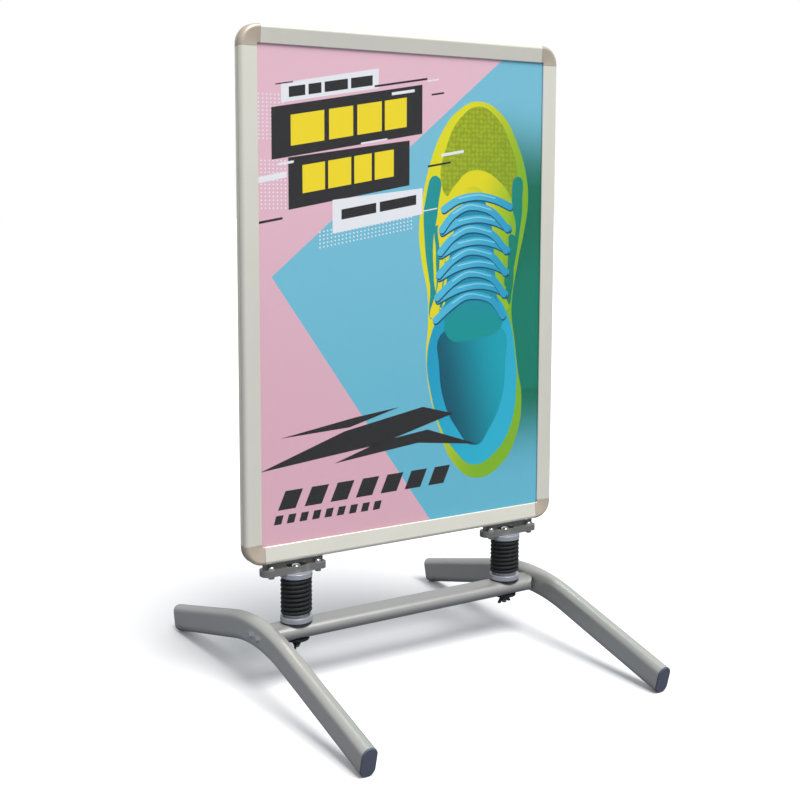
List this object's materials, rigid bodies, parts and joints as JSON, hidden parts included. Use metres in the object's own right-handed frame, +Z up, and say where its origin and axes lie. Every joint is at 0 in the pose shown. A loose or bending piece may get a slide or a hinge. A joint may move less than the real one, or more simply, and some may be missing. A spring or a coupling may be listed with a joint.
{
  "type": "spring-mounted swing sign",
  "caption": "Double-sided pavement poster sign: snap-open frames on two coil springs over a crossbar between two arched floor legs.",
  "frame": {"origin": "on the floor, in the middle of the sign's footprint", "axes": "+Z up, +X along the crossbar to the viewer's right, the front of the panel faces -Y"},
  "size_m": [0.639, 0.7328, 1.1101],
  "materials": {
    "frame_metal": "satin",
    "corner_metal": "satin",
    "leg_paint": "satin",
    "cap_plastic": "matt",
    "collar_metal": "satin",
    "spring_coil": "satin",
    "gasket_rubber": "matt",
    "bracket_paint": "satin",
    "bright_chrome": "polished",
    "black_hardware": "satin",
    "zinc_steel": "satin",
    "spring_strip": "satin",
    "back_panel": "matt",
    "poster_paper": "matt",
    "clear_sheet": "gloss"
  },
  "bodies": {
    "base": {"crossbar": "leg_paint", "crossbar_plug_left": "cap_plastic", "crossbar_plug_right": "cap_plastic", "gasket_left": "gasket_rubber", "gasket_right": "gasket_rubber", "leg_bolts": "zinc_steel", "leg_cap_front_left": "cap_plastic", "leg_cap_front_right": "cap_plastic", "leg_cap_rear_left": "cap_plastic", "leg_cap_rear_right": "cap_plastic", "leg_left": "leg_paint", "leg_right": "leg_paint", "lower_spring_plug_left": "collar_metal", "lower_spring_plug_right": "collar_metal", "spring_left": "spring_coil", "spring_right": "spring_coil", "spring_stud_left": "zinc_steel", "spring_stud_right": "zinc_steel", "stud_washers": "black_hardware"},
    "panel": {"back_panel_front": "back_panel", "back_panel_rear": "back_panel", "base_rail_front_bottom": "frame_metal", "base_rail_front_left": "frame_metal", "base_rail_front_right": "frame_metal", "base_rail_front_top": "frame_metal", "base_rail_rear_bottom": "frame_metal", "base_rail_rear_left": "frame_metal", "base_rail_rear_right": "frame_metal", "base_rail_rear_top": "frame_metal", "bracket_bolts": "zinc_steel", "bracket_cap_nuts": "bright_chrome", "clear_sheet_front": "clear_sheet", "clear_sheet_rear": "clear_sheet", "corner_keys": "zinc_steel", "corner_pieces_front": "corner_metal", "corner_pieces_rear": "corner_metal", "frame_bracket_left": "bracket_paint", "frame_bracket_right": "bracket_paint", "frame_rivets": "zinc_steel", "frame_spacers": "zinc_steel", "leaf_springs_front": "spring_strip", "leaf_springs_rear": "spring_strip", "poster_front": "poster_paper", "poster_rear": "poster_paper", "spring_plate_left": "bracket_paint", "spring_plate_right": "bracket_paint", "spring_screws": "bright_chrome", "upper_spring_plug_left": "collar_metal", "upper_spring_plug_right": "collar_metal"},
    "cover_front_bottom": {"snap_cover_front_bottom": "frame_metal"},
    "cover_front_left": {"snap_cover_front_left": "frame_metal"},
    "cover_front_right": {"snap_cover_front_right": "frame_metal"},
    "cover_front_top": {"snap_cover_front_top": "frame_metal"},
    "cover_rear_bottom": {"snap_cover_rear_bottom": "frame_metal"},
    "cover_rear_left": {"snap_cover_rear_left": "frame_metal"},
    "cover_rear_right": {"snap_cover_rear_right": "frame_metal"},
    "cover_rear_top": {"snap_cover_rear_top": "frame_metal"},
    "wing_nut_left_turning": {"wing_nut_left": "black_hardware"},
    "wing_nut_right_turning": {"wing_nut_right": "black_hardware"}
  },
  "joints": [
    {"name": "panel_sway", "type": "hinge", "parent": "base", "child": "panel", "pos_m": [0, 0, 0.15945], "axis": [1, 0, 0], "range_deg": [-20, 20], "stiffness_Nm_per_rad": 64, "deforming": ["spring_left", "spring_right"]},
    {"name": "cover_front_bottom_open", "type": "hinge", "parent": "panel", "child": "cover_front_bottom", "pos_m": [0, -0.0036, 0.22595], "axis": [1, 0, 0], "range_deg": [0, 45]},
    {"name": "cover_front_top_open", "type": "hinge", "parent": "panel", "child": "cover_front_top", "pos_m": [0, -0.0036, 1.10834], "axis": [-1, 0, 0], "range_deg": [0, 90]},
    {"name": "cover_front_left_open", "type": "hinge", "parent": "panel", "child": "cover_front_left", "pos_m": [-0.3177, -0.0036, 0.66714], "axis": [0, 0, -1], "range_deg": [0, 90]},
    {"name": "cover_front_right_open", "type": "hinge", "parent": "panel", "child": "cover_front_right", "pos_m": [0.3177, -0.0036, 0.66714], "axis": [0, 0, 1], "range_deg": [0, 90]},
    {"name": "cover_rear_bottom_open", "type": "hinge", "parent": "panel", "child": "cover_rear_bottom", "pos_m": [0, 0.0036, 0.22595], "axis": [-1, 0, 0], "range_deg": [0, 45]},
    {"name": "cover_rear_top_open", "type": "hinge", "parent": "panel", "child": "cover_rear_top", "pos_m": [0, 0.0036, 1.10834], "axis": [1, 0, 0], "range_deg": [0, 90]},
    {"name": "cover_rear_left_open", "type": "hinge", "parent": "panel", "child": "cover_rear_left", "pos_m": [-0.3177, 0.0036, 0.66714], "axis": [0, 0, 1], "range_deg": [0, 90]},
    {"name": "cover_rear_right_open", "type": "hinge", "parent": "panel", "child": "cover_rear_right", "pos_m": [0.3177, 0.0036, 0.66714], "axis": [0, 0, -1], "range_deg": [0, 90]},
    {"name": "wing_nut_left_spin", "type": "hinge", "parent": "base", "child": "wing_nut_left_turning", "pos_m": [-0.221, 0, 0.08], "axis": [0, 0, 1], "continuous": true},
    {"name": "wing_nut_right_spin", "type": "hinge", "parent": "base", "child": "wing_nut_right_turning", "pos_m": [0.221, 0, 0.08], "axis": [0, 0, 1], "continuous": true}
  ]
}
